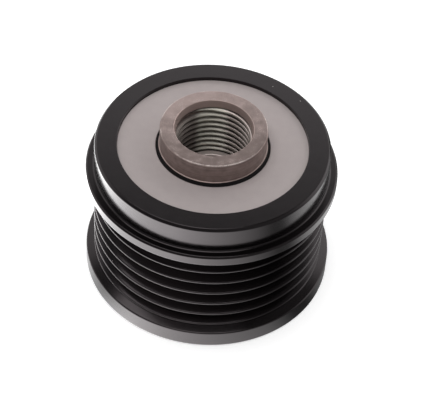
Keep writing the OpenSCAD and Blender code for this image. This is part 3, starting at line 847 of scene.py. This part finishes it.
class PULLEY_OT_covers(bpy.types.Operator):
    """Turn the rear cover with its rubber seal, and the front cap with its notches"""
    bl_idname = "pulley.covers"
    bl_label = "Covers and Seal"

    def execute(self, context):
        s, rim = context.scene.pulley_cover, context.scene.pulley_rim
        colours = context.scene.pulley_colours
        cover = self.rear_cover(s, rim)
        settle(cover, "rim", "cover_grey", blasted_cover(colours), "rear_cover")
        seal_rubber = moulded("seal rubber", colours.rubber, 5.0, 0.6, 0.006 * MM, gloss=0.2)
        settle(self.rear_seal(s), "rim", "seal_rubber", seal_rubber, "rear_seal")
        cap_plastic = moulded("cap plastic", colours.cap, 6.0, 0.4, 0.01 * MM)
        settle(self.front_cap(s, rim), "rim", "cap_plastic", cap_plastic, "front_cap")
        return {"FINISHED"}

    def rear_cover(self, s, rim):
        middle = rim.seat + s.foot_height
        outline = [(s.foot, rim.seat, 0.05 * MM), (s.disc, rim.seat, 0.05 * MM),
                   *arc(s.disc - s.edge, s.top - s.edge, s.edge, 0, 90, 6),
                   (s.hole + s.hole_edge, s.top, 0.05 * MM),
                   (s.hole, s.top - s.hole_edge, 0.05 * MM), (s.hole, middle, 0.03 * MM),
                   (s.foot - s.foot_height, middle, 0.05 * MM)]
        return turned("rear_cover_disc", outline)

    def rear_seal(self, s):
        """A ring held by the cover's hole, with a lip that leans up against the hub."""
        out, lip = s.hole - 0.02 * MM, s.seal_lip
        outline = [(lip + 0.3 * MM, s.seal_foot, 0), (out, s.seal_foot, 0.03 * MM),
                   (out, s.top - 0.15 * MM, 0.03 * MM),
                   (out - 0.12 * MM, s.top - 0.08 * MM, 0.03 * MM),
                   (out - 0.26 * MM, s.top - 0.2 * MM, 0.05 * MM),
                   (lip + 0.14 * MM, s.seal_top, 0.03 * MM), (lip, s.seal_top, 0.03 * MM),
                   (lip, s.seal_top - 0.4 * MM, 0.05 * MM),
                   (lip + 0.3 * MM, s.seal_top - 0.8 * MM, 0.05 * MM)]
        return turned("rear_seal_ring", outline, hold=0.02 * MM)

    def front_cap(self, s, rim):
        """A dished cap with a skirt that snaps into the lip, and three notches in its edge."""
        face, inner, top, dish = s.cap_face, s.cap_inner, s.cap_skirt, s.dish_depth
        edge, wall, brim = 0.25 * MM, s.cap - s.cap_wall, s.cap_dish + dish
        outline = [(0, face + dish, 0), (s.cap_dish, face + dish, 0.15 * MM),
                   (brim, face, 0.15 * MM), (s.cap - edge, face, 0.1 * MM),
                   (s.cap, face + edge, 0.1 * MM),
                   (s.cap, rim.snap - rim.snap_reach, 0.05 * MM),
                   (s.cap + s.cap_bead, rim.snap, 0.08 * MM),
                   (s.cap, rim.snap + rim.snap_reach, 0.05 * MM),
                   (s.cap - edge, top, 0.08 * MM), (wall, top, 0.08 * MM),
                   (wall, inner + edge, 0.1 * MM), (wall - edge, inner, 0.1 * MM),
                   (brim, inner, 0.15 * MM), (s.cap_dish, inner + dish, 0.15 * MM),
                   (0, inner + dish, 0)]
        cap = turned("front_dust_cap", outline)
        for turn in (90, 210, 330):
            cut(cap, self.notch_cutter(s, radians(turn)))
        return cap

    def notch_cutter(self, s, turn):
        place = Matrix.Rotation(turn, 3, "Z") @ Vector((s.cap, 0, s.notch_height / 2))
        bpy.ops.object.select_all(action="DESELECT")
        bpy.ops.mesh.primitive_cube_add(size=1, location=place, rotation=(0, 0, turn),
                                        scale=(2 * s.notch_depth, s.notch, s.notch_height))
        cutter = start_piece("notch_cutter")
        bpy.ops.object.mode_set(mode="EDIT")
        bpy.ops.mesh.select_all(action="SELECT")
        bpy.ops.mesh.bevel(offset=s.notch_round, segments=2)
        close_up()
        return cutter


class PULLEY_OT_inside(bpy.types.Operator):
    """Give the bearings and the clutch, which keep their CAD shapes, their finishes"""
    bl_idname = "pulley.inside"
    bl_label = "Bearings and Clutch"

    def execute(self, context):
        c = context.scene.pulley_colours
        ground = plain_metal("ground race steel", c.bearing, 11.0, 0.2)
        polished = plain_metal("polished ball steel", c.bearing, 3.0, 0.07, 0.001 * MM)
        strip = plain_metal("spring strip", c.spring, 5.0, 0.25)
        rubber = moulded("shield rubber", c.rubber, 4.0, 0.45, 0.008 * MM)
        nylon = moulded("ball cage nylon", c.nylon, 5.0, 0.42, 0.012 * MM)
        black = moulded("roller cage nylon", c.black_nylon, 5.0, 0.4, 0.012 * MM)
        # The first word that a node's name holds decides, so the cages come before the balls.
        finishes = {"race": ground, "sleeve": ground, "ball_cage": nylon, "shield": rubber,
                    "clutch_cage": black, "ball_": polished, "roller": polished,
                    "spring": strip}
        replaced = {"pulley_rim", "hub", "rear_cover", "rear_seal", "front_cap"}
        for name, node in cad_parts.items():
            if name in replaced:
                continue
            word = next((w for w in finishes if w in name), None)
            if word is None:
                raise RuntimeError(f"no finish is named for {name}")
            node.data.materials.clear()
            node.data.materials.append(finishes[word])
        return {"FINISHED"}


class PULLEY_OT_studio(bpy.types.Operator):
    """Lay the pale floor, light the room and place the camera"""
    bl_idname = "pulley.studio"
    bl_label = "Studio"

    def execute(self, context):
        s = context.scene.pulley_studio
        self.floor(s)
        self.sky(context.scene)
        self.lamp(context.scene, s)
        self.camera(context.scene, s)
        context.scene.view_settings.view_transform = "Standard"
        return {"FINISHED"}

    def floor(self, s):
        bpy.ops.object.select_all(action="DESELECT")
        bpy.ops.mesh.primitive_plane_add(size=s.floor_size, location=(0, 0, 0))
        floor = start_piece("studio_floor")
        bpy.ops.object.mode_set(mode="EDIT")
        bpy.ops.mesh.select_all(action="SELECT")
        bpy.ops.mesh.subdivide(number_cuts=7)
        bpy.ops.object.mode_set(mode="OBJECT")
        floor.data.materials.append(self.paper(s))

    def paper(self, s):
        """Pale paper. Shiny surfaces see it bright at the left and dark at the right."""
        f = new_finish("pale floor")
        x, y, z, r = f.place()
        matt = f.node("ShaderNodeBsdfDiffuse", None, {"Color": tuple(s.floor_colour)})
        glow = f.node("ShaderNodeEmission", None,
                      {"Color": (1, 1, 1), "Strength": f.ray("Is Camera Ray") * s.floor_glow})
        seen = f.node("ShaderNodeAddShader", None, {0: f.out(matt), 1: f.out(glow)})

        # From -1 at the left of the shaft to 1 at the right, the sheen falls, and it comes up
        # again a little at the far right.
        across = x / f.math("MAXIMUM", r, 1.0)
        fall = f.math("MINIMUM", 3.7 - across * 4.4, s.floor_sheen)
        sheen = f.math("MAXIMUM", fall, s.floor_shade) + f.between(across, 0.84, 1.0, 0.0, 1.1)
        # It is lower right beside the rim, where it holds a painted shadow of the rim, and far
        # away.
        beside = f.between(f.math("ABSOLUTE", across), 0.55, 0.9, 0.04, 0.8)
        beside = beside * f.between(r, 30.0, 40.0, 1.0, 0.0)
        sheen = sheen * f.between(r, 70.0, 240.0, 1.0, 0.12) * (1 - beside)
        mirrored = f.node("ShaderNodeEmission", None, {"Color": (1, 1, 1), "Strength": sheen})
        both = f.node("ShaderNodeMixShader", None,
                      {0: f.ray("Is Glossy Ray"), 1: f.out(seen), 2: f.out(mirrored)})
        f.finish(f.out(both))
        return f.owner

    def sky(self, scene):
        """White to the camera. To all else bright round the horizon, and dark overhead."""
        scene.world = scene.world or bpy.data.worlds.new("studio")
        f = Finish(scene.world)
        across, away, up = f.apart("Generated")
        level = f.between(up, 0.66, 0.75, 1.5, 0.12)
        level = level * f.between(across, -0.7, 0.7, 0.85, 1.25)
        level = level * f.between(away, -0.3, 0.3, 0.2, 1.0)
        seen = f.ray("Is Camera Ray")
        back = f.node("ShaderNodeBackground", None,
                      {"Color": (1, 1, 1), "Strength": seen + (1 - seen) * level})
        f.finish(f.out(back))

    def lamp(self, scene, s):
        data = bpy.data.lights.new("overhead softbox", "AREA")
        data.shape = "RECTANGLE"
        data.size, data.size_y = s.lamp_width, s.lamp_depth
        data.energy = s.lamp_power
        lamp = bpy.data.objects.new("overhead softbox", data)
        lamp.location = s.lamp_place
        towards = Vector(s.lamp_aim) - Vector(s.lamp_place)
        lamp.rotation_euler = towards.to_track_quat("-Z", "Y").to_euler()
        scene.collection.objects.link(lamp)

    def camera(self, scene, s):
        along = Vector((0, cos(s.elevation), -sin(s.elevation)))
        right, up = Vector((1, 0, 0)), Vector((0, sin(s.elevation), cos(s.elevation)))
        across = right * cos(s.roll) - up * sin(s.roll)
        above = right * sin(s.roll) + up * cos(s.roll)
        aim = Vector((0, 0, s.aim_height))
        place = aim + right * s.aside - up * s.lower - along * s.distance
        data = bpy.data.cameras.new("photo camera")
        data.sensor_fit, data.sensor_width, data.lens = "HORIZONTAL", 36, s.lens
        data.clip_start = 0.01
        camera = bpy.data.objects.new("photo camera", data)
        turn = Matrix((across, above, -along)).transposed().to_4x4()
        camera.matrix_world = Matrix.Translation(place) @ turn
        scene.collection.objects.link(camera)
        scene.camera = camera


class PULLEY_PT_build(bpy.types.Panel):
    """Lists the pieces of the pulley and their sizes"""
    bl_idname = "PULLEY_PT_build"
    bl_label = "Alternator Pulley"
    bl_space_type = "VIEW_3D"
    bl_region_type = "UI"
    bl_category = "Pulley"

    def draw(self, context):
        for group, operator in STAGES:
            box = self.layout.box()
            box.operator(operator)
            settings = getattr(context.scene, group)
            for key in settings.__annotations__:
                box.prop(settings, key)


STAGES = (("pulley_rim", "pulley.rim"), ("pulley_hub", "pulley.hub"),
          ("pulley_cover", "pulley.covers"), ("pulley_colours", "pulley.inside"),
          ("pulley_studio", "pulley.studio"))
GROUPS = {"pulley_rim": RimSizes, "pulley_hub": HubSizes, "pulley_cover": CoverSizes,
          "pulley_colours": FinishColours, "pulley_studio": StudioSettings}
CLASSES = (*GROUPS.values(), PULLEY_OT_rim, PULLEY_OT_hub, PULLEY_OT_covers,
           PULLEY_OT_inside, PULLEY_OT_studio, PULLEY_PT_build)


def register():
    for cls in CLASSES:
        bpy.utils.register_class(cls)
    for name, group in GROUPS.items():
        setattr(bpy.types.Scene, name, PointerProperty(type=group))


def unregister():
    for name in GROUPS:
        delattr(bpy.types.Scene, name)
    for cls in reversed(CLASSES):
        bpy.utils.unregister_class(cls)


def main():
    register()
    bpy.ops.pulley.rim()
    bpy.ops.pulley.hub()
    bpy.ops.pulley.covers()
    bpy.ops.pulley.inside()
    bpy.ops.pulley.studio()


if __name__ == "__main__":
    main()
